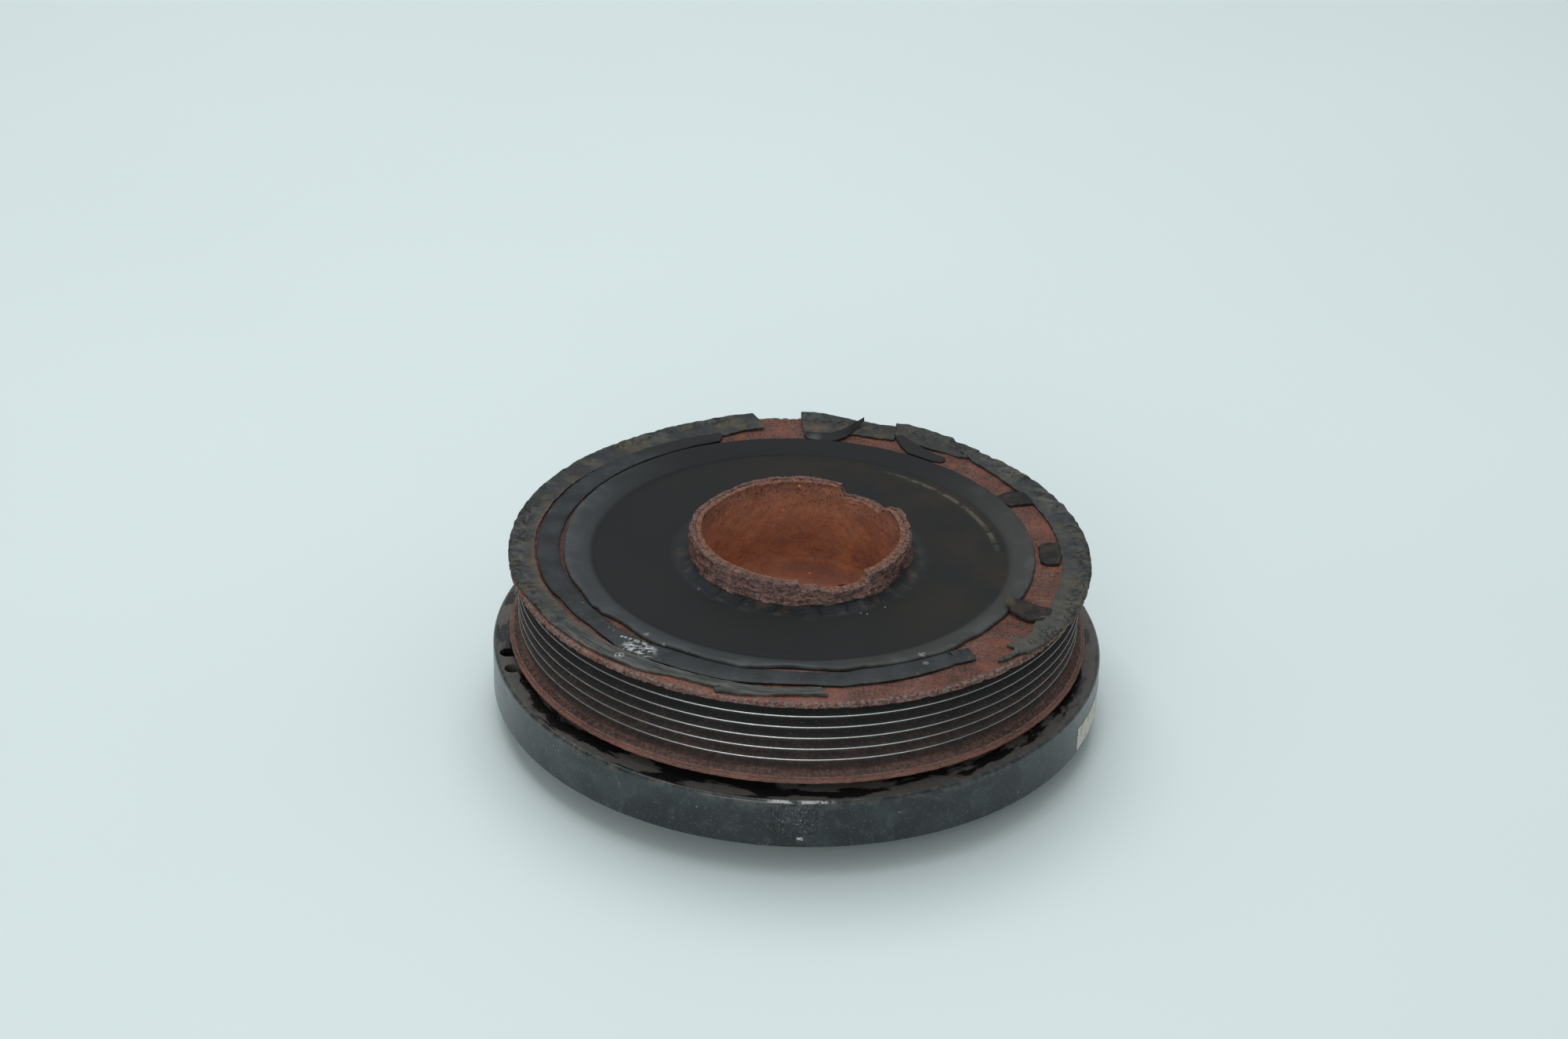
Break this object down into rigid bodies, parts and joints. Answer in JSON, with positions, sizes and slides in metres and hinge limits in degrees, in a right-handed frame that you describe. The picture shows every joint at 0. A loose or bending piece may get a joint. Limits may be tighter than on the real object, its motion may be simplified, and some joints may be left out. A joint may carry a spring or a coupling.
{
  "type": "crankshaft pulley",
  "caption": "Worn crankshaft pulley: ribbed belt track, heavy black damper ring behind it, torn rubber disc in front, and a deep rusty cup with a broken rim in the middle.",
  "frame": {"origin": "on the pulley's axis, in the plane of the hub's rear face, on which the part stands", "axes": "+Z along the axis from the rear face to the belt side and the cup's mouth; +X to the right and +Y away from the viewer as the part is seen from the front"},
  "size_m": [0.1834, 0.1834, 0.0596],
  "materials": {
    "hub_steel": "rusted all over, orange brown and mottled inside the cup",
    "collar_steel": "rusted and scaled, pinkish brown, pitted",
    "pulley_steel": "red brown rust on web and flanges, worn bright crests between dark grooves",
    "inner_steel": "dull steel with light rust",
    "ring_paint": "black paint, semi-gloss, scuffed and dusty",
    "coupling_rubber": "near black, dusty brown in places, smooth on the lip",
    "strip_rubber": "smooth dark blue grey",
    "film_rubber": "weathered grey green, rippled and torn",
    "damper_rubber": "black",
    "bush_plastic": "dark plain bearing plastic"
  },
  "bodies": {
    "root": {"hub": "hub_steel", "damper_rubber": "damper_rubber", "inertia_ring": "ring_paint", "carrier_disc": "inner_steel", "bearing_sleeve": "inner_steel", "bearing_bush": "bush_plastic", "thrust_washer": "bush_plastic", "pulley_rim": "pulley_steel", "drive_ring": "collar_steel", "decoupling_rubber": "coupling_rubber", "rubber_strip": "strip_rubber", "skin_left": "film_rubber", "skin_right": "film_rubber", "skin_rear": "film_rubber", "flap_left": "film_rubber", "flap_right": "film_rubber", "tab_back": "strip_rubber", "tab_middle": "strip_rubber", "tab_front": "strip_rubber"}
  },
  "joints": []
}
